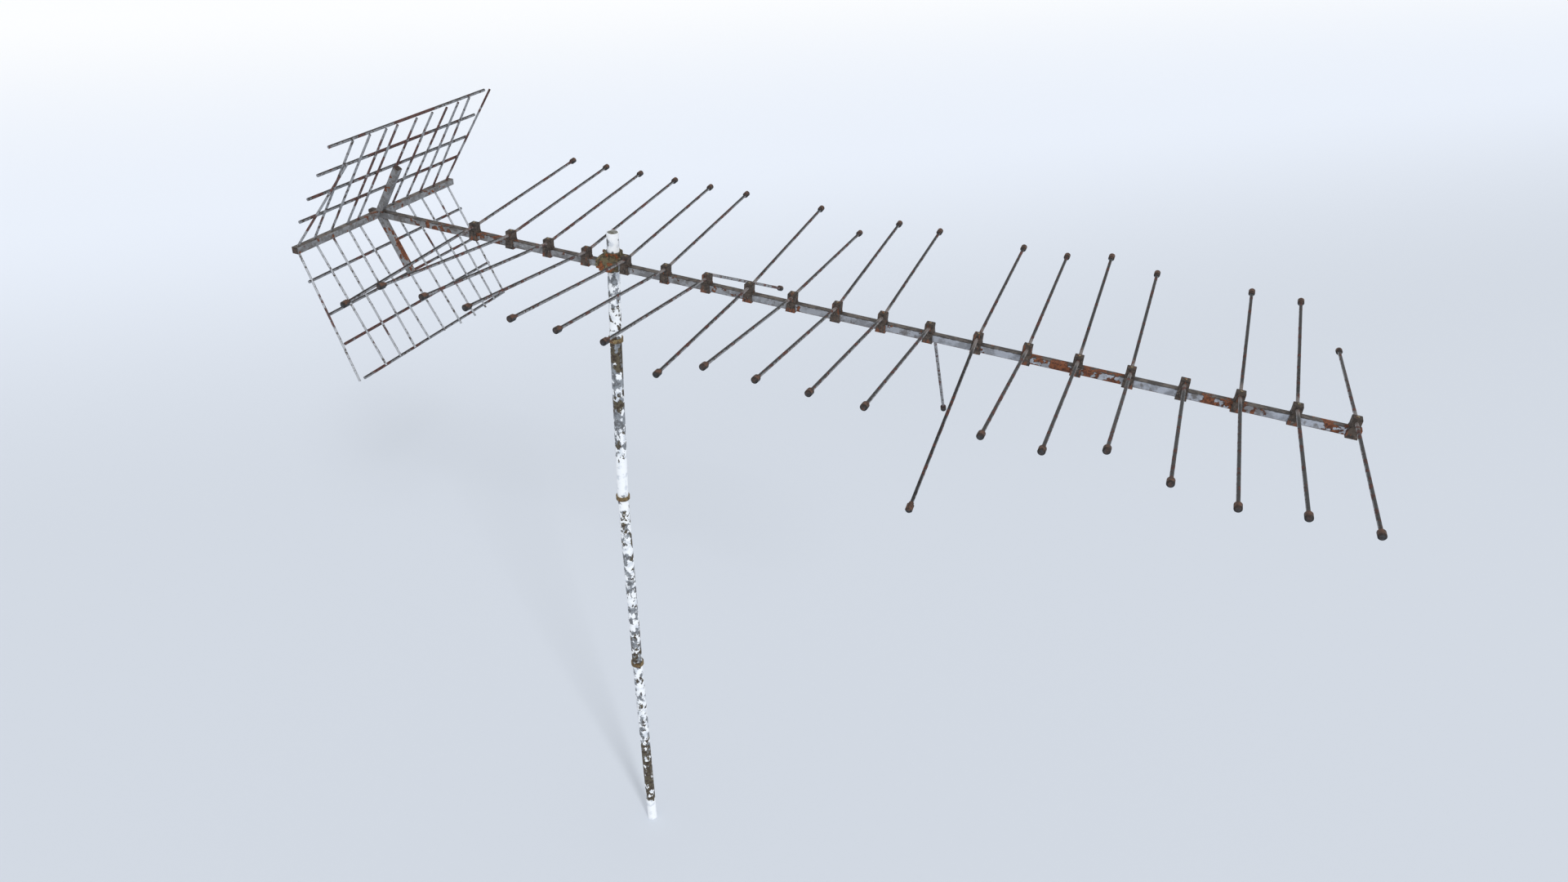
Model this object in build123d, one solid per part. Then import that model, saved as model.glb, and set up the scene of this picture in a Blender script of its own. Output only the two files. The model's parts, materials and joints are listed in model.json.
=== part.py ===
from build123d import *
from math import cos, radians, sin, tan
import os

# A rusted, storm-bent corner-reflector yagi on a sectional mast, in millimetres.
#
# Row frame: the origin is the centre of the mast's foot, +Z runs up the lowest mast
# section, and the boom points along +X.  The antenna head has a frame of its own: its
# origin is on the boom's centre plane where the roots of the first element's two rods
# would meet, X runs forward along the boom, Y across it and Z up.

# ---- driving dimensions --------------------------------------------------------------

# mast: four lengths of tube, each leaning a little more than the one below it
mast_d = 38.0
mast_wall = 2.6
mast_lengths = [880.0, 772.0, 612.0, 358.5]      # foot section first, joint to joint
mast_leans = [0.0, 0.5, 2.8, 3.7]                # degrees from vertical, towards +X
mast_joint_gap = 2.0                             # between two tube ends inside a collar
collar_wall = 5.0                                # proud of the tube
collar_h = 14.0
collar_seat = 0.4                                # each tube end is turned down under it
collar_screw_d = 5.0
collar_screw_head = 1.2                          # how far each screw stands proud
spigot_reach = 70.0                              # of an inner coupler, each way
spigot_wall = 2.4
top_plug_depth = 6.0
mast_above_boom = 90.0                           # mast top above the boom's centre line

# boom: one length of square tube
boom_side = 21.0
boom_wall = 2.0
boom_nose = 17.0                                 # past the last element
rod_root_above_boom = 26.5                       # rod roots above the boom's centre line

# mast clamp: the boom passes through its near side, the mast through its far side
clamp_after_element = 4                          # it sits between this one and the next
clamp_off_middle = 4.5                           # forward of halfway between the two
clamp_web = 2.9                                  # metal between the boom and the mast
clamp_cheek = 5.0                                # on the boom's near side
clamp_sole = 3.0                                 # below the boom
clamp_roof = 7.0                                 # above it, under the neck
clamp_shoulder_drop = 5.5                        # roof's slope down to the near side
clamp_corner = 2.5
clamp_bolt_web = 3.9                             # between the mast's bore and a bolt
clamp_end = 6.5                                  # from a bolt to the clamp's rear end
clamp_nose = 8.0                                 # the front end is this much further out
neck_wall = 3.4
neck_chamfer = 7.0
neck_h = 12.5
foot_plate_h = 7.0
liner_wall = 1.5
running_gap = 0.05                               # radial, mast to liner and liner to clamp
tight_gap = 0.3                                  # between a screw tip and the turning liner
clamp_screw_d = 6.0
clamp_screw_af = 10.0
clamp_screw_stub = 6.0                           # shank showing under the head
cross_bolt_d = 6.0
cross_bolt_af = 10.0
bolt_head_share = 0.7                            # of its diameter, a hex head's height

# elements
element_count = 20
element_pitch = 135.0
rod_d = 9.0
half_length = 598.5                              # middle of the boom to the rod's capped tip
rod_rise = 5.2                                   # degrees the straight halves rise
rod_depth = 9.0                                  # of a root in its holder
rod_straight_root = 4.5                          # outside the holder before any bend
rod_bend_radius = 22.0
cap_d = 18.0
cap_l = 27.0
cap_chamfer = 3.6
cap_neck_d = 12.5
cap_neck_l = 3.0
cap_depth = 20.0                                 # rod inside its cap
# each bent half's rise and its swing forward in degrees, side -1 being the half on -Y
bent_halves = {
    (1, -1): (-3.0, 0.1),
    (7, 1): (-24.9, 2.7),
    (8, -1): (0.1, 1.1),
    (9, 1): (-0.7, 0.4),
    (12, 1): (-53.1, 0.5),
    (13, -1): (-22.8, -0.7),
    (15, 1): (7.8, -0.5),
    (16, -1): (9.0, -0.5),
    (18, -1): (3.4, 0.4),
    (20, 1): (-7.4, 0.6),
}
lost_halves = [(17, 1)]                          # snapped off beside its holder
lost_stub = 3.0                                  # what is left of it outside

# the holder on the boom: a wrapped saddle with a block screwed down on it
saddle_length = 25.0
saddle_wall = 3.0
saddle_sole = 5.0                                # below the boom
saddle_flare = 2.0                               # how far each bottom edge splays
holder_length = 24.0
holder_width = 24.0
holder_above_rod = 13.0
holder_chamfer = 1.8
holder_screw_d = 5.0
holder_screw_head_d = 8.5
holder_screw_head_h = 2.2

# reflector: a square crossbar with two racks of rods that open forward
reflector_setback = 372.0                        # crossbar axis behind the first element
crossbar_half = 371.0
bar_side = 20.0
bar_wall = 2.0
plug_flange = 2.5
plug_depth = 12.0
back_block_length = 27.0
back_block_side = 19.6
back_bolt_d = 6.0
back_bolt_af = 10.0
cross_rod_d = 9.0
rack_rod_d = 7.0
cross_rod_shift = -1.4                           # their middles, off the boom's line
rack_rod_pitch = 70.6
rack_rod_steps = 5                               # rods each side of the middle one
# Each rack: the angle it opens at, its arm, its cross rods from the crossbar outwards
# (distance out, half length, lean in degrees), its rods' middle line off the boom's,
# their reach and common lean, and the rods knocked out of line, as
# step: (shift at the root, lean in degrees, longer by, degrees forward out of the rack).
upper_rack = {
    "opens": 59.2, "side": 1, "arm": 196.0,
    "cross": [(104.0, 371.5, 0.0), (193.0, 369.5, 0.0), (286.0, 362.0, 0.7), (390.0, 356.0, 0.9)],
    "rods_middle": -4.5, "reach": 386.5, "lean": 2.5,
    "bent": {
        -5: (1.0, 15.25, -78.0, 1.7),
        -1: (-22.3, 2.7, 0.0, 0.0),
        3: (0.0, 0.3, 4.5, 0.0),
        4: (0.0, -2.0, 9.0, 0.0),
        5: (0.0, 3.4, 13.5, 0.0),
    },
}
lower_rack = {
    "opens": 62.5, "side": -1, "arm": 212.0,
    "cross": [(98.0, 371.0, 0.0), (209.0, 371.0, 0.0), (307.5, 371.0, 0.0), (426.5, 371.0, 0.0)],
    "rods_middle": -2.0, "reach": 427.0, "lean": 0.7,
    "bent": {
        -5: (-1.9, -5.8, 0.0, 0.0),
        -1: (-22.3, 3.9, 0.0, 0.0),
        0: (0.0, 3.6, 4.5, 0.0),
        1: (0.0, 3.7, 13.0, 0.0),
        2: (0.0, 4.6, 17.0, 0.0),
        3: (0.0, 4.0, 11.5, 0.0),
        4: (0.0, 2.4, 4.0, 0.0),
        5: (0.0, 1.2, -14.5, 0.0),
    },
}

# ---- sizes that follow from them -----------------------------------------------------

mast_r = mast_d / 2
mast_bore_r = mast_r - mast_wall
collar_r = mast_r + collar_wall
collar_bore_r = mast_r - collar_seat
liner_in_r = mast_r + running_gap
liner_out_r = liner_in_r + liner_wall
clamp_bore_r = liner_out_r + running_gap
boom_z = -rod_root_above_boom
boom_half = boom_side / 2
clamp_station = (clamp_after_element - 0.5) * element_pitch + clamp_off_middle
mast_offset = boom_half + clamp_web + clamp_bore_r
cross_bolt_reach = clamp_bore_r + clamp_bolt_web + cross_bolt_d / 2
clamp_rear = cross_bolt_reach + clamp_end
clamp_front = clamp_rear + clamp_nose
neck_side = 2 * (clamp_bore_r + neck_wall)
boom_top_z = boom_z + boom_half
boom_rear_x = -reflector_setback + bar_side / 2
boom_front_x = (element_count - 1) * element_pitch + boom_nose
saddle_top_z = boom_top_z + saddle_wall
rod_start = holder_width / 2 - rod_depth         # a root's inner end, from the middle
cross_layer = bar_side / 2 + cross_rod_d / 2     # cross rods lie on the arms' backs
rack_layer = cross_layer - cross_rod_d / 2 - rack_rod_d / 2

os.makedirs("parts", exist_ok=True)


def save(name, shape):
    export_step(shape, "parts/" + name + ".step")


def group(solids):
    return Compound(children=list(solids))


def box(x0, x1, y0, y1, z0, z1):
    middle = Pos((x0 + x1) / 2, (y0 + y1) / 2, (z0 + z1) / 2)
    return middle * Box(x1 - x0, y1 - y0, z1 - z0)


def rod_from(start, direction, diameter, length):
    """A straight round bar whose axis starts at one point and runs along a direction."""
    return Plane(origin=start, z_dir=direction) * Cylinder(
        diameter / 2, length, align=(Align.CENTER, Align.CENTER, Align.MIN)
    )


def hex_bar(start, direction, across_flats, length):
    sketch = RegularPolygon(across_flats / 2, 6, major_radius=False)
    return extrude(Plane(origin=start, z_dir=direction) * sketch, length)


# ---- mast ----------------------------------------------------------------------------

def lean_direction(degrees):
    return Vector(sin(radians(degrees)), 0, cos(radians(degrees)))


mast_up = [lean_direction(lean) for lean in mast_leans]
mast_points = [Vector(0, 0, 0)]
for up, length in zip(mast_up, mast_lengths):
    mast_points.append(mast_points[-1] + up * length)
mast_top = mast_points[-1]
top_up = mast_up[-1]


def tube(start, direction, outer_r, inner_r, length):
    outer = rod_from(start, direction, 2 * outer_r, length)
    bore = rod_from(start - direction, direction, 2 * inner_r, length + 2)
    return outer - bore


def mast_section(number):
    """One length of tube, short of its collars' middles by half the joint gap, with a
    shallow seat turned on each end that a collar covers."""
    up = mast_up[number]
    reach = collar_h / 2
    trim = mast_joint_gap / 2
    start = mast_points[number]
    length = mast_lengths[number]
    low_seat = number > 0
    high_seat = number < len(mast_up) - 1
    plain_start = reach if low_seat else 0.0
    plain_end = length - (reach if high_seat else 0.0)
    section = tube(start + up * plain_start, up, mast_r, mast_bore_r, plain_end - plain_start)
    if low_seat:
        section += tube(start + up * trim, up, collar_bore_r, mast_bore_r, reach - trim)
    if high_seat:
        section += tube(
            start + up * plain_end, up, collar_bore_r, mast_bore_r, reach - trim
        )
    return section


def around_joint(number, outer_r, inner_r, reach):
    """A sleeve that follows the kink at a joint: half along each of its two tubes."""
    point = mast_points[number]
    low_end = point - mast_up[number - 1] * reach
    high_end = point + mast_up[number] * reach
    path = Wire([Edge.make_line(low_end, point), Edge.make_line(point, high_end)])
    ring = Circle(outer_r) - Circle(inner_r)
    profile = Plane(origin=low_end, z_dir=mast_up[number - 1]) * ring
    return sweep(profile, path, transition=Transition.RIGHT)


def collar_screws(number):
    """Two set screws a collar, one onto each tube, on the side towards -Y."""
    screws = []
    for up, side in ((mast_up[number - 1], -1), (mast_up[number], 1)):
        seat = mast_points[number] + up * (side * collar_h / 4)
        start = seat + Vector(0, -collar_bore_r, 0)
        length = collar_r - collar_bore_r + collar_screw_head
        screws.append(rod_from(start, (0, -1, 0), collar_screw_d, length))
    return screws


def mast_collar(number):
    collar = around_joint(number, collar_r, collar_bore_r, collar_h / 2)
    for screw in collar_screws(number):
        collar -= screw
    return collar


def mast_spigot(number):
    return around_joint(number, mast_bore_r, mast_bore_r - spigot_wall, spigot_reach)


for number in range(len(mast_up)):
    save(f"mast_section_{number + 1}", mast_section(number))
joints = range(1, len(mast_up))
for number in joints:
    save(f"mast_collar_{number}", mast_collar(number))
save("mast_spigots", group(mast_spigot(number) for number in joints))
save("mast_collar_screws", group(s for number in joints for s in collar_screws(number)))
top_plug_start = mast_top - top_up * top_plug_depth
save("mast_top_plug", rod_from(top_plug_start, top_up, 2 * mast_bore_r, top_plug_depth))

# ---- antenna head --------------------------------------------------------------------

# The clamp grips the mast's top section square to it, so the head leans as it does,
# and the boom passes the mast on its -Y side.
clamp_centre = mast_top - top_up * mast_above_boom
boom_forward = Vector(cos(radians(mast_leans[-1])), 0, -sin(radians(mast_leans[-1])))
boom_centre_at_clamp = clamp_centre - Vector(0, mast_offset, 0)
head_origin = boom_centre_at_clamp - boom_forward * clamp_station - top_up * boom_z
head = Plane(origin=head_origin, x_dir=boom_forward, z_dir=top_up).location


def save_on_head(name, shape):
    save(name, head * shape)


# ---- boom ----------------------------------------------------------------------------

def square_tube(x0, x1, side, wall):
    """A square tube along X with its axis at y = z = 0."""
    half = side / 2
    inner = half - wall
    return box(x0, x1, -half, half, -half, half) - box(
        x0 - 1, x1 + 1, -inner, inner, -inner, inner
    )


def square_plug(side, wall):
    """A plug for a square tube whose end is at x = 0 and which runs towards -X."""
    half = side / 2
    inner = half - wall
    head_part = box(0, plug_flange, -half, half, -half, half)
    rim = head_part.faces().sort_by(Axis.X)[-1].edges()
    head_part = chamfer(rim, plug_flange / 2)
    return head_part + box(-plug_depth, 0, -inner, inner, -inner, inner)


# ---- mast clamp ----------------------------------------------------------------------

clamp_near_y = -boom_half - clamp_cheek
clamp_far_y = mast_offset + neck_side / 2
clamp_bottom_z = boom_z - boom_half - clamp_sole
clamp_top_z = boom_top_z + clamp_roof
neck_top_z = clamp_top_z + neck_h
plate_bottom_z = clamp_bottom_z - foot_plate_h
cross_bolt_xs = [clamp_station - cross_bolt_reach, clamp_station + cross_bolt_reach]


def on_mast_axis(z):
    return Vector(clamp_station, mast_offset, z)


def mast_bore():
    length = neck_top_z - plate_bottom_z + 2
    return rod_from(on_mast_axis(plate_bottom_z - 1), (0, 0, 1), 2 * clamp_bore_r, length)


def cross_bolt_shanks():
    width = clamp_far_y - clamp_near_y
    return [
        rod_from((x, clamp_near_y, boom_z), (0, 1, 0), cross_bolt_d, width)
        for x in cross_bolt_xs
    ]


def clamp_body():
    """A casting with a square channel for the boom and a bore for the mast."""
    neck_near_y = mast_offset - neck_side / 2
    side_view = Polyline(
        (clamp_near_y, clamp_bottom_z),
        (clamp_far_y, clamp_bottom_z),
        (clamp_far_y, clamp_top_z),
        (neck_near_y, clamp_top_z),
        (clamp_near_y, clamp_top_z - clamp_shoulder_drop),
        close=True,
    )
    rear_end = Plane(
        origin=(clamp_station - clamp_rear, 0, 0), x_dir=(0, 1, 0), z_dir=(1, 0, 0)
    )
    body = extrude(rear_end * make_face(side_view), clamp_rear + clamp_front)
    body = chamfer(body.edges().filter_by(Axis.Z), clamp_corner)
    body -= box(0, 2 * clamp_station, -boom_half, boom_half, boom_z - boom_half, boom_top_z)
    body -= mast_bore()
    for shank in cross_bolt_shanks():
        body -= shank
    return body


def clamp_neck():
    half = neck_side / 2
    neck = box(-half, half, -half, half, clamp_top_z, neck_top_z)
    neck = chamfer(neck.edges().filter_by(Axis.Z), neck_chamfer)
    return Pos(*on_mast_axis(0)) * neck - mast_bore()


def clamp_foot_plate():
    half = neck_side / 2
    plate = box(
        clamp_station - half, clamp_station + half,
        clamp_near_y, clamp_far_y, plate_bottom_z, clamp_bottom_z,
    )
    return chamfer(plate.edges().filter_by(Axis.Z), clamp_corner) - mast_bore()


def clamp_screws():
    """Two hex screws through the neck, from the side of -X and from +Y."""
    middle = on_mast_axis((clamp_top_z + neck_top_z) / 2)
    tip = liner_out_r + tight_gap
    length = neck_side / 2 - tip + clamp_screw_stub
    screws = []
    for direction in (Vector(-1, 0, 0), Vector(0, 1, 0)):
        start = middle + direction * tip
        screw = rod_from(start, direction, clamp_screw_d, length)
        screw += hex_bar(
            start + direction * length, direction,
            clamp_screw_af, clamp_screw_d * bolt_head_share,
        )
        screws.append(screw)
    return screws


def clamp_liner():
    """A thin bush between mast and clamp, slit down one side so that it can close."""
    length = neck_top_z - plate_bottom_z
    liner = rod_from(on_mast_axis(plate_bottom_z), (0, 0, 1), 2 * liner_out_r, length)
    hole = rod_from(on_mast_axis(plate_bottom_z - 1), (0, 0, 1), 2 * liner_in_r, length + 2)
    slit = Pos(*on_mast_axis(0)) * box(
        0, 2 * liner_out_r, -liner_wall, liner_wall, plate_bottom_z - 1, neck_top_z + 1
    )
    return liner - hole - slit


neck = clamp_neck()
for screw in clamp_screws():
    neck -= screw
save_on_head("clamp_body", clamp_body())
save_on_head("clamp_neck", neck)
save_on_head("clamp_foot_plate", clamp_foot_plate())
save_on_head("clamp_liner", clamp_liner())
save_on_head("clamp_screws", group(clamp_screws()))

bolt_head_h = cross_bolt_d * bolt_head_share
cross_bolts = []
cross_nuts = []
for x, shank in zip(cross_bolt_xs, cross_bolt_shanks()):
    far_face = (x, clamp_far_y, boom_z)
    past_nut = rod_from(far_face, (0, 1, 0), cross_bolt_d, bolt_head_h + 2)
    bolt_head = hex_bar((x, clamp_near_y, boom_z), (0, -1, 0), cross_bolt_af, bolt_head_h)
    cross_bolts.append(shank + past_nut + bolt_head)
    cross_nuts.append(hex_bar(far_face, (0, 1, 0), cross_bolt_af, bolt_head_h) - past_nut)
save_on_head("clamp_cross_bolts", group(cross_bolts))
save_on_head("clamp_cross_nuts", group(cross_nuts))

boom = Pos(0, 0, boom_z) * square_tube(boom_rear_x, boom_front_x, boom_side, boom_wall)
for shank in cross_bolt_shanks():
    boom -= shank
save_on_head("boom", boom)
save_on_head("boom_nose_plug", Pos(boom_front_x, 0, boom_z) * square_plug(boom_side, boom_wall))

# ---- elements ------------------------------------------------------------------------


def slope(side, rise, forward=0.0):
    """The direction of a rod that leaves the boom on one side, rising and swung forward."""
    level = cos(radians(forward)) * cos(radians(rise))
    lift = cos(radians(forward)) * sin(radians(rise))
    return Vector(sin(radians(forward)), side * level, lift)


def bend(start, root, outward):
    """The arc that turns a rod from its root's direction to its own: (middle, end)."""
    turn = radians(root.get_angle(outward))
    inward = (outward - root * root.dot(outward)).normalized()
    centre = start + inward * rod_bend_radius
    points = []
    for angle in (turn / 2, turn):
        radial = root * sin(angle) - inward * cos(angle)
        points.append(centre + radial * rod_bend_radius)
    return points


def half_rod(number, side):
    """One half of an element at x = 0: its rod, and its capped end's place."""
    root = slope(side, rod_rise)
    start = root * rod_start
    rod_end_at = half_length - (cap_l - cap_depth)
    if (number, side) not in bent_halves:
        rod = rod_from(start, root, rod_d, rod_end_at - rod_start)
        return rod, root * rod_end_at, root
    straight = holder_width / 2 + rod_straight_root
    outward = slope(side, *bent_halves[(number, side)])
    bend_start = root * straight
    bend_middle, bend_end = bend(bend_start, root, outward)
    arc_length = rod_bend_radius * radians(root.get_angle(outward))
    rod_end = bend_end + outward * (rod_end_at - straight - arc_length)
    path = Wire([
        Edge.make_line(start, bend_start),
        Edge.make_three_point_arc(bend_start, bend_middle, bend_end),
        Edge.make_line(bend_end, rod_end),
    ])
    rod = sweep(Plane(origin=start, z_dir=root) * Circle(rod_d / 2), path)
    return rod, rod_end, outward


def end_cap(rod_end, outward):
    """A thick cap with a short neck, pushed on over the rod's end."""
    inner_end = rod_end - outward * cap_depth
    barrel = Cylinder(cap_d / 2, cap_l - cap_neck_l)
    barrel = chamfer(barrel.edges().filter_by(GeomType.CIRCLE), cap_chamfer)
    barrel_middle = inner_end + outward * ((cap_l + cap_neck_l) / 2)
    cap = Plane(origin=barrel_middle, z_dir=outward) * barrel
    cap += rod_from(inner_end, outward, cap_neck_d, cap_l / 2)
    return cap - rod_from(inner_end - outward, outward, rod_d, cap_depth + 1)


def element_x(number):
    return (number - 1) * element_pitch


end_caps = {-1: [], 1: []}
for number in range(1, element_count + 1):
    halves = []
    for side in (-1, 1):
        rod, rod_end, outward = half_rod(number, side)
        if (number, side) in lost_halves:
            stub = holder_width / 2 - rod_start + lost_stub
            rod = rod_from(slope(side, rod_rise) * rod_start, slope(side, rod_rise), rod_d, stub)
        else:
            end_caps[side].append(Pos(element_x(number), 0, 0) * end_cap(rod_end, outward))
        halves.append(Pos(element_x(number), 0, 0) * rod)
    save_on_head(f"element_{number:02d}", group(halves))
save_on_head("near_end_caps", group(end_caps[-1]))
save_on_head("far_end_caps", group(end_caps[1]))


def rod_holes():
    return [
        rod_from(slope(side, rod_rise) * rod_start, slope(side, rod_rise), rod_d, holder_width)
        for side in (-1, 1)
    ]


def holder_screw():
    top = (0, 0, holder_above_rod)
    screw = rod_from(top, (0, 0, -1), holder_screw_d, holder_above_rod - boom_top_z)
    screw_head = Cylinder(holder_screw_head_d / 2, holder_screw_head_h)
    rim = screw_head.edges().filter_by(GeomType.CIRCLE).sort_by(Axis.Z)[-1]
    screw_head = fillet(rim, holder_screw_head_h * 0.6)
    return screw + Pos(0, 0, holder_above_rod + holder_screw_head_h / 2) * screw_head


def holder():
    """The block that grips the two roots, drilled for its screw."""
    half_l = holder_length / 2
    half_w = holder_width / 2
    block = box(-half_l, half_l, -half_w, half_w, saddle_top_z, holder_above_rod)
    block = chamfer(block.faces().sort_by(Axis.Z)[-1].edges(), holder_chamfer)
    for hole in rod_holes():
        block -= hole
    return block - holder_screw()


def saddle():
    """A plate wrapped round the boom; its cheeks splay a little at the bottom."""
    half_w = boom_half + saddle_wall
    bottom_z = boom_z - boom_half - saddle_sole
    top_face = Plane.XY.offset(saddle_top_z) * Rectangle(saddle_length, 2 * half_w)
    bottom_face = Plane.XY.offset(bottom_z) * Rectangle(
        saddle_length + 2 * saddle_flare, 2 * (half_w + saddle_flare)
    )
    wrap = loft([top_face.face(), bottom_face.face()])
    reach = saddle_length
    wrap -= box(-reach, reach, -boom_half, boom_half, boom_z - boom_half, boom_top_z)
    return wrap - holder_screw()


stations = [Pos(element_x(number), 0, 0) for number in range(1, element_count + 1)]
save_on_head("element_saddles", group(station * saddle() for station in stations))
save_on_head("element_holders", group(station * holder() for station in stations))
save_on_head("holder_screws", group(station * holder_screw() for station in stations))

# ---- reflector -----------------------------------------------------------------------

bar_half = bar_side / 2
crossing = Vector(-reflector_setback, 0, boom_z)


def bar_envelope():
    """The crossbar's outer shape, which everything that butts on it is cut by."""
    x = crossing.X
    return box(
        x - bar_half, x + bar_half, -crossbar_half, crossbar_half,
        boom_z - bar_half, boom_z + bar_half,
    )


def boom_envelope():
    """The boom's rear end, which the arms are cut by, over the wider of the two tubes."""
    half_width = max(boom_half, bar_half)
    return box(
        boom_rear_x, boom_rear_x + 2 * boom_side, -half_width, half_width,
        boom_z - boom_half, boom_z + boom_half,
    )


bolt_start = crossing - Vector(bar_half + back_block_length, 0, 0)
bolt_length = back_block_length + bar_side + plug_depth
bolt_shank = rod_from(bolt_start, (1, 0, 0), back_bolt_d, bolt_length)
back_bolt = bolt_shank + hex_bar(
    bolt_start, (-1, 0, 0), back_bolt_af, back_bolt_d * bolt_head_share
)

crossbar = Rot(0, 0, 90) * square_tube(-crossbar_half, crossbar_half, bar_side, bar_wall)
crossbar = Pos(crossing.X, 0, crossing.Z) * crossbar - bolt_shank
save_on_head("reflector_crossbar", crossbar)
bar_end = square_plug(bar_side, bar_wall)
bar_plugs = [
    Pos(crossing.X, side * crossbar_half, crossing.Z) * Rot(0, 0, 90 * side) * bar_end
    for side in (-1, 1)
]
save_on_head("crossbar_end_plugs", group(bar_plugs))

block_half = back_block_side / 2
back_block = box(
    crossing.X - bar_half - back_block_length, crossing.X - bar_half,
    -block_half, block_half, crossing.Z - block_half, crossing.Z + block_half,
)
back_block = chamfer(back_block.faces().sort_by(Axis.X)[0].edges(), 2.0)
save_on_head("reflector_back_block", back_block - bolt_shank)
save_on_head("reflector_back_bolt", back_bolt)
nut_half = boom_half - boom_wall
boom_rear_nut = box(
    boom_rear_x, boom_rear_x + plug_depth,
    -nut_half, nut_half, boom_z - nut_half, boom_z + nut_half,
)
save_on_head("boom_rear_plug", boom_rear_nut - bolt_shank)


def rack_place(rack):
    """A frame at the crossing: its X runs out along the rack, Y across it, and its Z
    points to the rack's back, away from the elements."""
    angle = radians(rack["opens"])
    out = Vector(cos(angle), 0, rack["side"] * sin(angle))
    back = Vector(-sin(angle), 0, rack["side"] * cos(angle))
    return Plane(origin=crossing, x_dir=out, z_dir=back).location


def rack_rod(rack, step):
    """One of the rack's long rods, cut to butt on the crossbar or on the arm's plug."""
    shift, lean, extra, forward = rack["bent"].get(step, (0.0, rack["lean"], 0.0, 0.0))
    # a rack's Y runs the other way below the boom than above it
    across = rack["side"]
    root = rack["rods_middle"] + step * rack_rod_pitch + shift
    start = Vector(0, across * root, rack_layer)
    if step == 0:
        start = Vector(rack["arm"], 0, rack_layer)
    direction = Vector(1, across * tan(radians(lean)), -tan(radians(forward)))
    reach = (rack["reach"] + extra - start.X) * direction.length
    return rack_place(rack) * rod_from(start, direction, rack_rod_d, reach)


def cross_rod(rack, out, half, lean):
    across = rack["side"]
    direction = Vector(sin(radians(lean)), across * cos(radians(lean)), 0)
    start = Vector(out, across * cross_rod_shift, cross_layer) - direction * half
    return rack_place(rack) * rod_from(start, direction, cross_rod_d, 2 * half)


arm_end = square_plug(bar_side, bar_wall)
arm_plugs = []
for name, rack in (("upper", upper_rack), ("lower", lower_rack)):
    place = rack_place(rack)
    tube_end = rack["arm"] - plug_flange
    arm = place * square_tube(0, tube_end, bar_side, bar_wall)
    save_on_head(f"{name}_arm", arm - bar_envelope() - boom_envelope())
    arm_plug = place * Pos(tube_end, 0, 0) * arm_end
    arm_plugs.append(arm_plug)
    rods = [
        rack_rod(rack, step) - bar_envelope() - arm_plug
        for step in range(-rack_rod_steps, rack_rod_steps + 1)
    ]
    save_on_head(f"{name}_rack_rods", group(rods))
    cross_rods = [cross_rod(rack, *sizes) for sizes in rack["cross"]]
    save_on_head(f"{name}_cross_rods", group(cross_rods))
save_on_head("arm_end_plugs", group(arm_plugs))
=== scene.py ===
import json
import math

import bpy
from mathutils import Matrix, Vector

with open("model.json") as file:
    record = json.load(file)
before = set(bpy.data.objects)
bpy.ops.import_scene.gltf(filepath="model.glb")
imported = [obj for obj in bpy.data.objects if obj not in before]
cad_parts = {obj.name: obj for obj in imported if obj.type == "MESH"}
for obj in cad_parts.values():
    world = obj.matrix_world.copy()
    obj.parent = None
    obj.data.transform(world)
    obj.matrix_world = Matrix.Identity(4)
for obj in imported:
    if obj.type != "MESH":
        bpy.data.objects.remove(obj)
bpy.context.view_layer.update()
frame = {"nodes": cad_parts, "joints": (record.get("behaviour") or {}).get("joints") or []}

# ---- The whole antenna ---------------------------------------------------------------
# A corner-reflector yagi on a mast of four tubes.  Every piece keeps the shape that the
# frame gives it, and each section below lays a weathered finish on the pieces it names.
nodes = frame["nodes"]

# ---- Mast sections -------------------------------------------------------------------
# Four lengths of steel tube, painted white once and left outdoors: the paint is chalky
# and has come off in flakes, down to grey zinc and, near the foot and the collars, rust.

# how much paint is left, as (metres up the mast, level)
paint_left = [
    (0.0, 1.0), (0.10, 1.0), (0.12, 0.52), (0.15, 0.30), (0.42, 0.34), (0.55, 0.48),
    (0.72, 0.60), (0.87, 0.66), (0.89, 0.30), (0.99, 0.36), (1.02, 0.50), (1.36, 0.52),
    (1.48, 0.48), (1.56, 0.56), (1.64, 0.62), (1.66, 1.0), (1.77, 0.96), (1.80, 0.66),
    (1.86, 0.46), (2.00, 0.30), (2.10, 0.40), (2.18, 0.20), (2.26, 0.16), (2.28, 0.62),
    (2.39, 0.56), (2.50, 0.50), (2.56, 0.78), (2.63, 0.84),
]
# and how much of what is bare has gone past grey zinc to brown rust
gone_brown = [
    (0.0, 0.3), (0.13, 0.85), (0.40, 0.70), (0.56, 0.36), (0.86, 0.40), (0.89, 0.66),
    (1.00, 0.52), (1.10, 0.36), (1.45, 0.46), (1.56, 0.56), (1.65, 0.36), (1.80, 0.60),
    (1.90, 0.36), (2.02, 0.60), (2.10, 0.40), (2.20, 0.66), (2.26, 0.66), (2.38, 0.62),
    (2.44, 0.30), (2.63, 0.30),
]
flake_size = 0.021
brown_patch_size = 0.034
flake_stretch = (1, 1, 0.7)  # under 1, so flakes are longer up the mast than round it
paint_thickness = 0.0005


def shade(red, green, blue):
    """A colour as a paint card gives it, 0 to 255, in the linear form that light needs."""
    linear = []
    for part in (red, green, blue):
        part = part / 255
        linear.append(part / 12.92 if part <= 0.04045 else ((part + 0.055) / 1.055) ** 2.4)
    return (*linear, 1.0)


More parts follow.
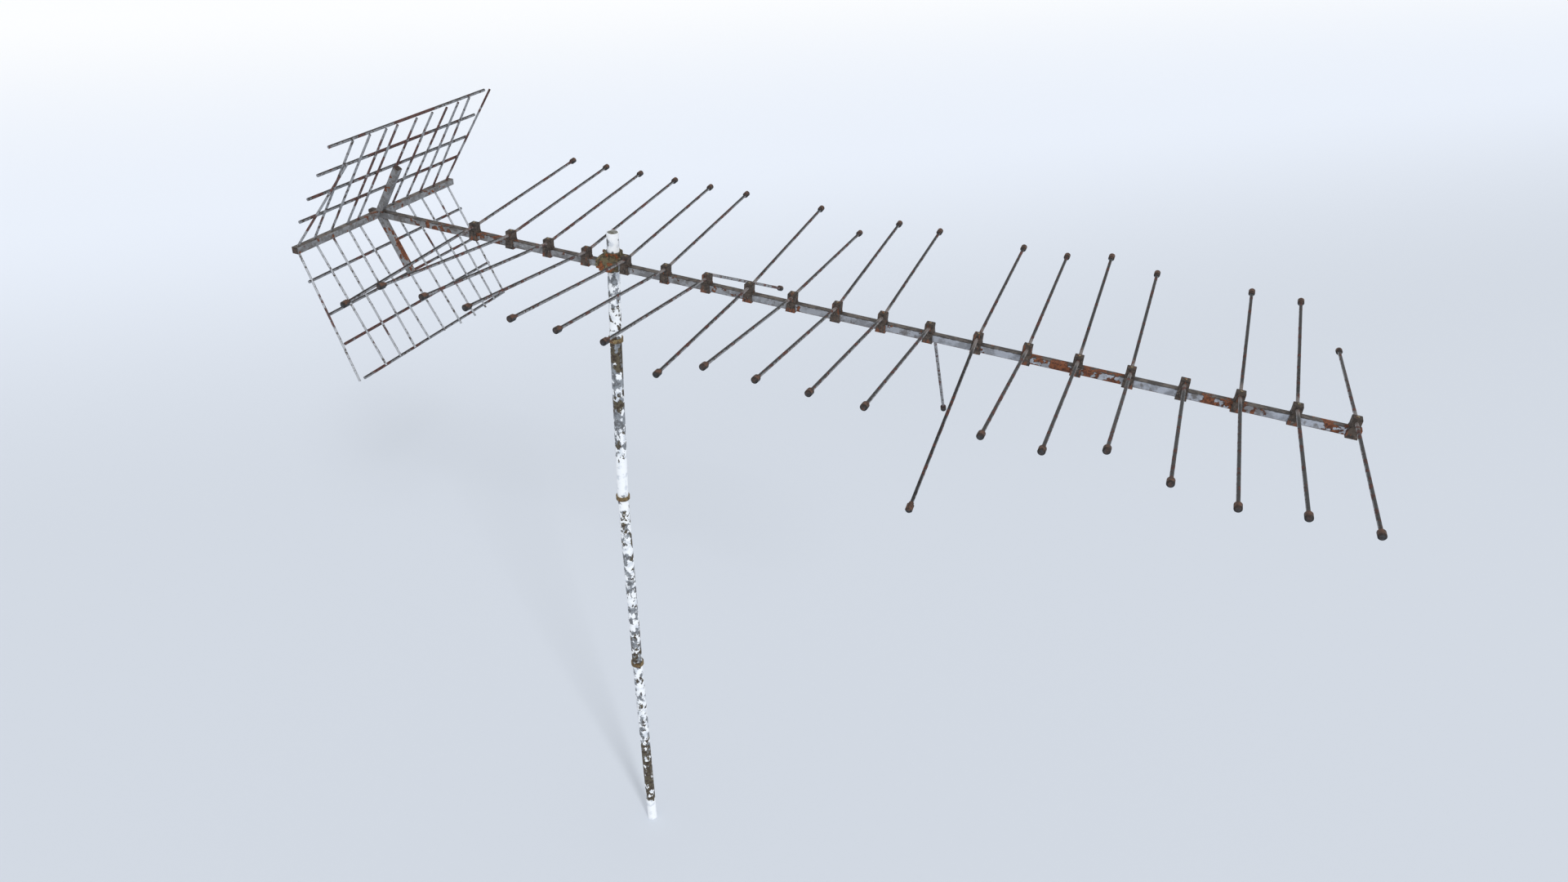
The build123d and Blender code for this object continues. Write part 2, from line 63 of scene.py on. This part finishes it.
class Finish:
    """A finish built up in coats, from the bare material out."""

    def __init__(self, name, origin=(0, 0, 0), tilt=0.0):
        self.material = bpy.data.materials.new(name)
        self.material.use_nodes = True
        self.tree = self.material.node_tree
        self.shader = self.tree.nodes["Principled BSDF"]
        coordinates = self.tree.nodes.new("ShaderNodeTexCoord")
        self.normal = coordinates.outputs["Normal"]
        place = self.tree.nodes.new("ShaderNodeMapping")
        place.vector_type = "TEXTURE"
        place.inputs["Location"].default_value = origin
        place.inputs["Rotation"].default_value = (0, tilt, 0)
        self.tree.links.new(coordinates.outputs["Object"], place.inputs["Vector"])
        self.place = place.outputs["Vector"]

    def feed(self, socket, value):
        """Sets a socket to a plain value, or links it to another node's result."""
        if isinstance(value, bpy.types.NodeSocket):
            self.tree.links.new(value, socket)
        else:
            socket.default_value = value

    def axis(self, letter, of=None):
        """One coordinate of the place on the object, or of another vector."""
        parts = self.tree.nodes.new("ShaderNodeSeparateXYZ")
        self.feed(parts.inputs[0], of or self.place)
        return parts.outputs[letter]

    def along(self, direction, of=None):
        """How far the place on the object, or another vector, reaches along a direction."""
        node = self.tree.nodes.new("ShaderNodeVectorMath")
        node.operation = "DOT_PRODUCT"
        self.feed(node.inputs[0], of or self.place)
        node.inputs[1].default_value = direction
        return node.outputs["Value"]

    def maths(self, operation, a, b=0.0):
        node = self.tree.nodes.new("ShaderNodeMath")
        node.operation = operation
        self.feed(node.inputs[0], a)
        self.feed(node.inputs[1], b)
        return node.outputs[0]

    def plus(self, a, b):
        return self.maths("ADD", a, b)

    def times(self, a, b):
        return self.maths("MULTIPLY", a, b)

    def off_half(self, value):
        """A level from 0 to 1, told as so much over or under a half."""
        return self.maths("SUBTRACT", value, 0.5)

    def noise(self, size, detail=3.0, rough=0.55, stretch=(1, 1, 1), shift=0.0):
        """Cloudy noise from 0 to 1, whose blotches are about this many metres across."""
        fit = self.tree.nodes.new("ShaderNodeMapping")
        self.feed(fit.inputs["Vector"], self.place)
        fit.inputs["Location"].default_value = (shift, shift * 0.7, shift * 1.3)
        fit.inputs["Scale"].default_value = stretch
        node = self.tree.nodes.new("ShaderNodeTexNoise")
        self.feed(node.inputs["Vector"], fit.outputs[0])
        node.inputs["Scale"].default_value = 1 / size
        node.inputs["Detail"].default_value = detail
        node.inputs["Roughness"].default_value = rough
        return node.outputs[0]

    def ramp(self, value, low, high, at_low=0.0, at_high=1.0):
        """A smooth step from one level to another as the value goes from low to high."""
        node = self.tree.nodes.new("ShaderNodeMapRange")
        node.interpolation_type = "SMOOTHSTEP"
        for name, number in (
            ("Value", value), ("From Min", low), ("From Max", high),
            ("To Min", at_low), ("To Max", at_high),
        ):
            self.feed(node.inputs[name], number)
        return node.outputs[0]

    def curve(self, value, points):
        """A level that goes through (place, level) points, in straight runs."""
        first, last = points[0][0], points[-1][0]
        share = self.tree.nodes.new("ShaderNodeMapRange")
        self.feed(share.inputs["Value"], value)
        share.inputs["From Min"].default_value = first
        share.inputs["From Max"].default_value = last
        node = self.tree.nodes.new("ShaderNodeValToRGB")
        stops = node.color_ramp.elements
        for where, level in points[1:-1]:
            stops.new((where - first) / (last - first)).color = (level, level, level, 1)
        for stop, (where, level) in ((stops[0], points[0]), (stops[-1], points[-1])):
            stop.color = (level, level, level, 1)
        self.tree.links.new(share.outputs[0], node.inputs[0])
        return node.outputs[0]

    def coat(self, under, over, cover):
        """One colour laid over another where cover is 1."""
        node = self.tree.nodes.new("ShaderNodeMix")
        node.data_type = "RGBA"
        self.feed(node.inputs[0], cover)
        self.feed(node.inputs[6], under)
        self.feed(node.inputs[7], over)
        return node.outputs[2]

    def blotched(self, under, over, size, low=0.42, high=0.60, detail=4.0, rough=0.55,
                 shift=0.0, strength=1.0):
        """One colour over another in blotches, fewer of them as low and high go up."""
        blotches = self.ramp(self.noise(size, detail, rough, shift=shift), low, high)
        if strength < 1.0:
            blotches = self.times(blotches, strength)
        return self.coat(under, over, blotches)

    def relief(self, height, depth, under=None):
        """Raises the surface by up to this many metres where height is 1."""
        node = self.tree.nodes.new("ShaderNodeBump")
        node.inputs["Strength"].default_value = 1.0
        node.inputs["Distance"].default_value = depth
        self.feed(node.inputs["Height"], height)
        if under:
            self.feed(node.inputs["Normal"], under)
        return node.outputs[0]

    def done(self, colour, roughness, metal, normal=None):
        self.feed(self.shader.inputs["Base Color"], colour)
        self.feed(self.shader.inputs["Roughness"], roughness)
        self.feed(self.shader.inputs["Metallic"], metal)
        if normal:
            self.feed(self.shader.inputs["Normal"], normal)
        return self.material


def dress(names, material):
    """Gives frame pieces their finish in place of the plain one that they come with."""
    for name in names:
        slots = nodes[name].data.materials
        slots.clear()
        slots.append(material)


def flaking_white_paint():
    f = Finish("flaking_white_paint")
    height = f.axis("Z")
    left = f.curve(height, paint_left)
    browned = f.curve(height, gone_brown)

    # the edge of the paint: over 0 where paint is left, under 0 where it has gone
    flakes = f.noise(flake_size, 4.0, 0.60, flake_stretch)
    edge = f.plus(f.off_half(flakes), f.times(f.off_half(left), 0.34))
    paint = f.ramp(edge, -0.008, 0.010)
    thin_paint = f.ramp(edge, -0.050, 0.0)
    rim = f.times(f.ramp(edge, -0.030, -0.004), f.ramp(edge, 0.012, 0.0))

    zinc = f.blotched(shade(146, 151, 157), shade(104, 106, 109), 0.013, rough=0.6)
    zinc = f.coat(zinc, shade(188, 193, 200), f.times(thin_paint, 0.6))
    rust = f.blotched(shade(94, 86, 68), shade(62, 50, 40), 0.012, shift=5)
    brown_noise = f.noise(brown_patch_size, 4.0, 0.6, flake_stretch, shift=9)
    brown_edge = f.plus(f.off_half(brown_noise), f.times(f.off_half(browned), 0.5))
    bare = f.coat(zinc, rust, f.ramp(brown_edge, 0.0, 0.03))

    chalk = f.blotched(shade(247, 250, 253), shade(214, 220, 228), 0.024, 0.48, 0.64, shift=12)
    colour = f.coat(bare, chalk, paint)
    colour = f.coat(colour, shade(74, 70, 64), f.times(rim, 0.35))
    roughness = f.ramp(paint, 0.0, 1.0, 0.62, 0.5)
    metal = f.ramp(paint, 0.0, 1.0, 0.25, 0.0)
    skin = f.relief(f.noise(0.004, 2, shift=7), 0.0002)
    return f.done(colour, roughness, metal, f.relief(paint, paint_thickness, skin))


dress([f"mast_section_{number}" for number in range(1, 5)], flaking_white_paint())

# ---- Mast collars --------------------------------------------------------------------
# Turned rings over the three joints, each pinched by two set screws.  Their ochre paint
# is almost gone, and rust has come through it in spots.


def weathered_ochre():
    f = Finish("weathered_ochre")
    colour = f.blotched(shade(128, 108, 72), shade(78, 64, 44), 0.010)
    colour = f.blotched(colour, shade(160, 144, 108), 0.006, 0.58, 0.66, detail=3, shift=4)
    colour = f.blotched(colour, shade(104, 62, 32), 0.014, 0.60, 0.66, shift=8)
    return f.done(colour, 0.72, 0.1, f.relief(f.noise(0.003, 4, 0.65), 0.0005))


dress([f"mast_collar_{number}" for number in range(1, 4)], weathered_ochre())

# ---- Spigots, top plug and liner -----------------------------------------------------
# The spigots join the tubes from inside and stay bare.  A turned plug closes the top,
# and a split plastic bush lets the clamp slide and turn on the mast.


def bare_steel():
    f = Finish("bare_steel")
    grain = f.noise(0.002, 2, 0.5, (1, 1, 0.1))
    colour = f.blotched(shade(112, 110, 108), shade(78, 70, 62), 0.02, 0.4, 0.7)
    return f.done(colour, f.ramp(grain, 0.3, 0.7, 0.35, 0.6), 0.8, f.relief(grain, 0.0001))


def dull_plug():
    f = Finish("dull_plug")
    colour = f.blotched(shade(132, 134, 130), shade(88, 84, 70), 0.012, 0.45, 0.6)
    return f.done(colour, 0.65, 0.2, f.relief(f.noise(0.003, 3), 0.0003))


def bush_plastic():
    f = Finish("bush_plastic")
    colour = f.blotched(shade(38, 38, 38), shade(70, 66, 60), 0.008, 0.5, 0.7, detail=3)
    return f.done(colour, f.ramp(f.noise(0.004, 2), 0.3, 0.7, 0.4, 0.6), 0.0)


dress(["mast_spigots"], bare_steel())
dress(["mast_top_plug"], dull_plug())
dress(["clamp_liner"], bush_plastic())

# ---- Mast clamp ----------------------------------------------------------------------
# A rough casting in three pieces: the body that boxes in the boom, the neck with its two
# screws, and the plate below.  Olive paint over iron, with orange rust on the near faces.

turning = next(joint for joint in frame["joints"] if joint["name"] == "azimuth")
head_up = Vector(turning["axis"]).normalized()
head_tilt = math.atan2(head_up.x, head_up.z)
head_forward = Vector((math.cos(head_tilt), 0, -math.sin(head_tilt)))
across = Vector((0, 1, 0))


def span(name, direction):
    """How far a frame piece reaches along a direction: (least, most)."""
    reach = [vertex.co.dot(direction) for vertex in nodes[name].data.vertices]
    return min(reach), max(reach)


def middle(name, direction):
    return sum(span(name, direction)) / 2


# the boom's centre line at the first element, where the head's own measures start
head_origin = (
    head_forward * middle("element_01", head_forward)
    + across * middle("boom", across)
    + head_up * middle("boom", head_up)
)


def head_finish(name):
    """A finish laid out in the head's own frame: X along the boom, Z up off it."""
    return Finish(name, tuple(head_origin), head_tilt)


def upward(f, low=0.5, high=0.9):
    """1 on what faces up."""
    return f.ramp(f.axis("Z", f.normal), low, high)


def olive_casting():
    f = head_finish("olive_casting")
    body = f.blotched(shade(98, 89, 64), shade(62, 55, 41), 0.014, high=0.62)
    body = f.blotched(body, shade(124, 115, 88), 0.009, 0.58, 0.66, detail=3, shift=2)
    facing_near = f.ramp(f.axis("Y", f.normal), -0.9, -0.3, 1.0, 0.0)
    patches = f.plus(f.noise(0.016, 5, 0.58, shift=6), f.times(facing_near, 0.12))
    rust = f.ramp(patches, 0.60, 0.63)
    orange = f.blotched(shade(140, 82, 44), shade(92, 54, 32), 0.006, shift=3)
    crust = f.relief(f.noise(0.004, 4, 0.6), 0.0005)
    return f.done(f.coat(body, orange, rust), 0.82, 0.05, f.relief(rust, 0.0006, crust))


dress(["clamp_body", "clamp_neck", "clamp_foot_plate"], olive_casting())

# ---- Screws, bolts and nuts ----------------------------------------------------------
# Zinc-plated steel that has started to rust: the clamp's screws and bolts, the holders'
# round heads, the collars' set screws and the bolt behind the crossbar.


def rusty_zinc():
    f = Finish("rusty_zinc")
    zinc = f.blotched(shade(146, 138, 112), shade(96, 90, 76), 0.004, low=0.4, detail=3)
    rust = f.ramp(f.noise(0.006, 4, shift=5), 0.50, 0.60)
    colour = f.coat(zinc, shade(112, 62, 34), rust)
    roughness = f.ramp(rust, 0, 1, 0.42, 0.85)
    metal = f.ramp(rust, 0, 1, 0.7, 0.1)
    return f.done(colour, roughness, metal, f.relief(f.noise(0.002, 3), 0.0003))


dress(
    ["clamp_screws", "clamp_cross_bolts", "clamp_cross_nuts", "holder_screws",
     "mast_collar_screws", "reflector_back_bolt"],
    rusty_zinc(),
)

# ---- Boom ----------------------------------------------------------------------------
# One length of galvanised square tube.  Its sides are still pale zinc, with a painted
# reflection that makes them paler and bluer towards the nose.  Its top is dark with dirt,
# its upper corners are darkened near-black with painted shade, its lower corners are brown,
# and rust has broken out in hard-edged patches.

# how far rust has spread, as (metres forward of the first element, level)
boom_rust = [
    (-0.38, 0.42), (-0.20, 0.46), (-0.17, 0.60), (-0.10, 0.58), (-0.06, 0.44), (0.0, 0.54),
    (0.13, 0.56), (0.16, 0.46), (0.50, 0.46), (1.60, 0.42), (1.74, 0.44), (1.78, 0.58),
    (2.01, 0.58), (2.05, 0.40), (2.17, 0.40), (2.21, 0.56), (2.29, 0.61), (2.33, 0.50),
    (2.38, 0.40), (2.46, 0.44), (2.50, 0.56), (2.58, 0.60),
]
boom_grain = 0.03
boom_half = (span("boom", head_up)[1] - span("boom", head_up)[0]) / 2


def zinc_coat(f, grain):
    """Grey zinc with darker stains and bright scuffs, paler and bluer towards the nose as a
    painted reflection.
    """
    cloud = f.noise(grain, 4, 0.6)
    # painted reflection: how much of the paler, bluer zinc is used, growing towards the nose
    painted_sheen = f.ramp(f.axis("X"), 0.2, 2.3)
    pale = f.coat(shade(140, 141, 143), shade(172, 177, 187), painted_sheen)
    deep = f.coat(shade(112, 111, 111), shade(142, 145, 152), painted_sheen)
    colour = f.coat(pale, deep, f.ramp(cloud, 0.42, 0.60))
    colour = f.blotched(colour, shade(184, 188, 194), grain / 4, 0.60, 0.68, detail=3,
                        rough=0.6, shift=11, strength=0.5)
    return f.blotched(colour, shade(88, 80, 73), grain * 1.6, 0.53, 0.62, detail=5,
                      rough=0.68, shift=15, strength=0.65)


def grimy_top(f, colour, pale, dark, cover):
    """Dirt that has settled on what faces up."""
    grime = f.blotched(pale, dark, 0.02, low=0.4, shift=33)
    return f.coat(colour, grime, cover)


def rust_colour(f):
    """Orange-brown rust, darker where it is thick."""
    colour = f.blotched(shade(124, 72, 42), shade(90, 51, 33), 0.009, high=0.58, shift=21)
    return f.blotched(colour, shade(58, 37, 29), 0.005, 0.55, 0.63, detail=3, shift=23)


def rusted_tube(f, colour, rust):
    """The tube's last coat: rough raised rust, and pitted dull zinc where there is none."""
    pits = f.relief(f.noise(0.004, 4, 0.65, shift=5), 0.0003)
    roughness = f.ramp(rust, 0, 1, 0.55, 0.85)
    metal = f.ramp(rust, 0, 1, 0.35, 0.0)
    return f.done(f.coat(colour, rust_colour(f), rust), roughness, metal,
                  f.relief(rust, 0.0005, pits))


def galvanised_boom():
    f = head_finish("galvanised_boom")
    colour = zinc_coat(f, boom_grain)
    up = f.axis("Z")
    colour = grimy_top(f, colour, shade(94, 85, 77), shade(54, 47, 42),
                       f.times(upward(f), 0.95))

    # corners are where both the side and the top are near
    side = f.maths("ABSOLUTE", f.axis("Y"))
    corner = f.maths("MINIMUM", side, f.maths("ABSOLUTE", up))
    ragged = f.times(f.off_half(f.noise(0.012, 4, 0.6, shift=31)), 0.006)
    corner = f.ramp(f.plus(corner, ragged), boom_half * 0.80, boom_half * 0.95)
    # painted shade: a near-black line laid along the two upper corners
    upper_corner_shade = f.times(corner, f.ramp(up, -0.002, 0.004))
    colour = f.coat(colour, shade(38, 31, 27), f.times(upper_corner_shade, 0.92))
    low_corner = f.times(corner, f.ramp(up, 0.0, -0.006))
    colour = f.coat(colour, shade(92, 66, 50), f.times(low_corner, 0.6))

    spread = f.curve(f.axis("X"), boom_rust)
    edge = f.plus(f.off_half(f.noise(0.026, 5, 0.55, shift=41)), f.off_half(spread))
    colour = f.coat(colour, shade(70, 52, 42), f.ramp(edge, 0.065, 0.085))
    return rusted_tube(f, colour, f.ramp(edge, 0.085, 0.10))


dress(["boom", "boom_nose_plug", "boom_rear_plug"], galvanised_boom())

# ---- Element saddles and holders -----------------------------------------------------
# A plate wrapped round the boom at each element, and the block screwed down on it that
# grips the two rods.  Dark weathered paint, with painted shade in near-black along the top
# edges, and rust that runs down the flanks and gathers along the bottom edge.


def dark_holder():
    f = head_finish("dark_holder")
    body = f.blotched(shade(80, 69, 61), shade(48, 42, 38), 0.010, 0.40, 0.62, rough=0.6)
    body = f.blotched(body, shade(112, 103, 97), 0.006, 0.60, 0.70, detail=3, shift=3)
    top = upward(f)
    body = f.coat(body, shade(60, 51, 44), f.times(top, 0.7))
    slanted = f.ramp(f.axis("Z", f.normal), 0.2, 0.6)
    # painted shade: near-black on the slanted faces along the top edges
    painted_top_edge_shade = f.times(slanted, f.maths("SUBTRACT", 1.0, top))
    body = f.coat(body, shade(24, 20, 18), f.times(painted_top_edge_shade, 0.9))
    streak = f.noise(0.007, 3, 0.55, (1, 1, 0.25), shift=14)
    low_down = f.ramp(f.axis("Z"), 0.012, -0.016, 0.0, 0.10)
    rust = f.ramp(f.plus(streak, low_down), 0.60, 0.68)
    colour = f.coat(body, shade(116, 68, 44), f.times(rust, 0.85))
    return f.done(colour, 0.78, 0.1, f.relief(f.noise(0.003, 4, 0.65), 0.0005))


holder_finish = dark_holder()
dress(["element_saddles", "element_holders", "reflector_back_block"], holder_finish)

# ---- Elements ------------------------------------------------------------------------
# Twenty pairs of plated rods.  Their upper sides are blackened by dirt and painted shade,
# the undersides are grey, and red-brown rust has taken hold in short bands.


def banded_rod(name, grey, dark, share, size, pale_root=0.0):
    """Grey rod, darker above with dirt and painted shade, with rust bands of about this size
    over this share of it.
    """
    f = head_finish(name)
    bare = f.blotched(grey, shade(168, 170, 172), 0.006, 0.58, 0.68, detail=3, rough=0.6)
    bare = f.blotched(bare, shade(78, 70, 64), 0.011, 0.53, 0.60, rough=0.65, shift=5)
    speckle = f.off_half(f.noise(0.005, 3, 0.65, shift=7))
    # dirt and painted shade: faces turned up go towards the dark colour, with a speckled edge
    dirt_and_shade = f.ramp(f.plus(f.axis("Z", f.normal), speckle), 0.30, 0.72)
    colour = f.coat(bare, dark, f.times(dirt_and_shade, 0.92))
    at_root = f.ramp(f.maths("ABSOLUTE", f.axis("Y")), 0.030, 0.075, pale_root, 0.0)
    colour = f.coat(colour, shade(150, 140, 136), at_root)
    rust = f.ramp(f.noise(size, 4, 0.62, shift=19), 1.0 - share, 1.03 - share)
    crimson = f.blotched(shade(92, 50, 40), shade(54, 32, 27), 0.006, detail=3, shift=35)
    colour = f.coat(colour, crimson, f.times(rust, 0.88))
    colour = f.blotched(colour, shade(40, 32, 28), 0.0035, 0.66, 0.70, detail=2, shift=27)
    roughness = f.ramp(rust, 0, 1, 0.5, 0.85)
    metal = f.ramp(rust, 0, 1, 0.4, 0.0)
    return f.done(colour, roughness, metal, f.relief(f.noise(0.003, 3), 0.0003))


dress(
    [f"element_{number:02d}" for number in range(1, 21)],
    banded_rod("element_rod", grey=shade(144, 145, 148), dark=shade(18, 16, 15),
               share=0.45, size=0.028, pale_root=0.6),
)

# ---- End caps ------------------------------------------------------------------------
# A thick cap with a short neck pushed on each tip, once black: brown with dust on top,
# blue-grey below, and dark round both rims.


def dusty_cap():
    f = head_finish("dusty_cap")
    dust = f.blotched(shade(92, 62, 46), shade(54, 42, 35), 0.008, 0.4, 0.62)
    dark = f.blotched(shade(54, 58, 62), shade(34, 36, 38), 0.006, low=0.4, detail=3, shift=3)
    ragged = f.off_half(f.noise(0.01, 3, shift=9))
    dusty = f.ramp(f.plus(f.axis("Z", f.normal), ragged), -0.1, 0.45)
    colour = f.coat(dark, dust, dusty)
    end_on = f.maths("ABSOLUTE", f.axis("Y", f.normal))
    rim = f.times(f.ramp(end_on, 0.3, 0.6), f.ramp(end_on, 0.95, 0.8))
    colour = f.coat(colour, shade(20, 18, 17), f.times(rim, 0.75))
    roughness = f.ramp(f.noise(0.004, 3), 0.3, 0.7, 0.6, 0.85)
    return f.done(colour, roughness, 0.0, f.relief(f.noise(0.002, 3), 0.0002))


dress(["near_end_caps", "far_end_caps"], dusty_cap())

# ---- Reflector bars ------------------------------------------------------------------
# The crossbar and the two arms welded to it are the boom's own kind of square tube, and
# are weathered as it is.  The lower arm has rusted down its inner face, the one turned
# to the elements.  Plugs close their open ends.

bar_grain = 0.024
lower_arm_inner_face = (0.887, 0, 0.462)  # the way that face looks


def galvanised_bar():
    f = head_finish("galvanised_bar")
    colour = grimy_top(f, zinc_coat(f, bar_grain), shade(98, 89, 81), shade(58, 50, 44),
                       f.times(upward(f, 0.6), 0.9))
    inner_face = f.ramp(f.along(lower_arm_inner_face, f.normal), 0.90, 0.98)
    below_boom = f.ramp(f.axis("Z"), -0.02, -0.10, 0.0, 0.15)
    patches = f.plus(f.noise(0.024, 5, 0.55, shift=45), f.times(inner_face, below_boom))
    return rusted_tube(f, colour, f.ramp(patches, 0.595, 0.615))


dress(["reflector_crossbar", "upper_arm", "lower_arm"], galvanised_bar())
dress(["crossbar_end_plugs", "arm_end_plugs"], holder_finish)

# ---- Reflector rods ------------------------------------------------------------------
# Each rack is eleven long rods that stand on the crossbar, and four more across their
# backs.  The plating is a little brighter than on the elements, and the lower rack's much
# paler grey is painted reflection.

dress(
    ["upper_rack_rods"],
    banded_rod("upper_rod", grey=shade(152, 154, 158), dark=shade(84, 80, 79),
               share=0.48, size=0.10),
)
# painted reflection: the lower rack's rods get a paler grey and a paler upper side, as if they
# mirrored the pale surroundings
dress(
    ["lower_rack_rods"],
    banded_rod("lower_rod_painted_reflection", grey=shade(178, 181, 186), dark=shade(118, 118, 120),
               share=0.38, size=0.09),
)
dress(
    ["upper_cross_rods", "lower_cross_rods"],
    banded_rod("cross_rod", grey=shade(138, 140, 144), dark=shade(44, 39, 37),
               share=0.47, size=0.13),
)

# ---- Studio --------------------------------------------------------------------------
# A wide pale floor whose colour brightens into the distance as painted light, an even sky,
# and one broad light from the front right that lays the mast's shadow out behind it.

floor_reach = 80.0
floor_back = Vector((-0.377, 0.926, 0))
floor_left = Vector((-0.926, -0.377, 0))
towards_painted_light = floor_back + 0.32 * floor_left

floor_mesh = bpy.data.meshes.new("studio_floor")
floor_mesh.from_pydata(
    [(-floor_reach, -floor_reach, 0), (floor_reach, -floor_reach, 0),
     (floor_reach, floor_reach, 0), (-floor_reach, floor_reach, 0)],
    [], [(0, 1, 2, 3)],
)
floor = bpy.data.objects.new("studio_floor", floor_mesh)
bpy.context.scene.collection.objects.link(floor)


def pale_floor():
    f = Finish("pale_floor")
    painted_light_reach = f.along(towards_painted_light)
    # painted light: the floor's colour grows paler, then white, the further it lies towards
    # the bright side
    colour = f.coat(shade(211, 217, 226), shade(234, 240, 250), f.ramp(painted_light_reach, 3.0, 10.0))
    colour = f.coat(colour, shade(255, 255, 255), f.ramp(painted_light_reach, 8.0, 26.0))
    return f.done(colour, 0.9, 0.0)


floor_mesh.materials.append(pale_floor())

sky_colour = (0.97, 0.985, 1.0, 1)
sky_strength = 0.80
world = bpy.data.worlds.new("studio_sky")
world.use_nodes = True
sky = world.node_tree.nodes["Background"]
sky.inputs["Color"].default_value = sky_colour
sky.inputs["Strength"].default_value = sky_strength
bpy.context.scene.world = world

# the light's bearing, anticlockwise off the boom's line seen from above, and its height
light_bearing = math.radians(-42)
light_height = math.radians(36)
light_breadth = math.radians(9)
light_strength = 1.15
sun = bpy.data.lights.new("broad_light", "SUN")
sun.energy = light_strength
sun.angle = light_breadth
sun_stand = bpy.data.objects.new("broad_light", sun)
towards_light = Vector((
    math.cos(light_height) * math.cos(light_bearing),
    math.cos(light_height) * math.sin(light_bearing),
    math.sin(light_height),
))
sun_stand.rotation_euler = (-towards_light).to_track_quat("-Z", "Y").to_euler()
bpy.context.scene.collection.objects.link(sun_stand)

camera_place = Vector((1.6887, -2.638, 3.7074))
camera_aim = Vector((0.629, -0.034, 2.034))
camera_roll = math.radians(-0.175)
film_width = 36.0
focal_length = 24.27
furthest_seen = 300.0
camera_data = bpy.data.cameras.new("camera")
camera_data.sensor_width = film_width
camera_data.lens = focal_length
camera_data.clip_end = furthest_seen
camera = bpy.data.objects.new("camera", camera_data)
look = (camera_aim - camera_place).to_track_quat("-Z", "Y").to_matrix()
look = look @ Matrix.Rotation(camera_roll, 3, "Z")
camera.matrix_world = Matrix.Translation(camera_place) @ look.to_4x4()
bpy.context.scene.collection.objects.link(camera)
bpy.context.scene.camera = camera
bpy.context.scene.view_settings.view_transform = "Standard"
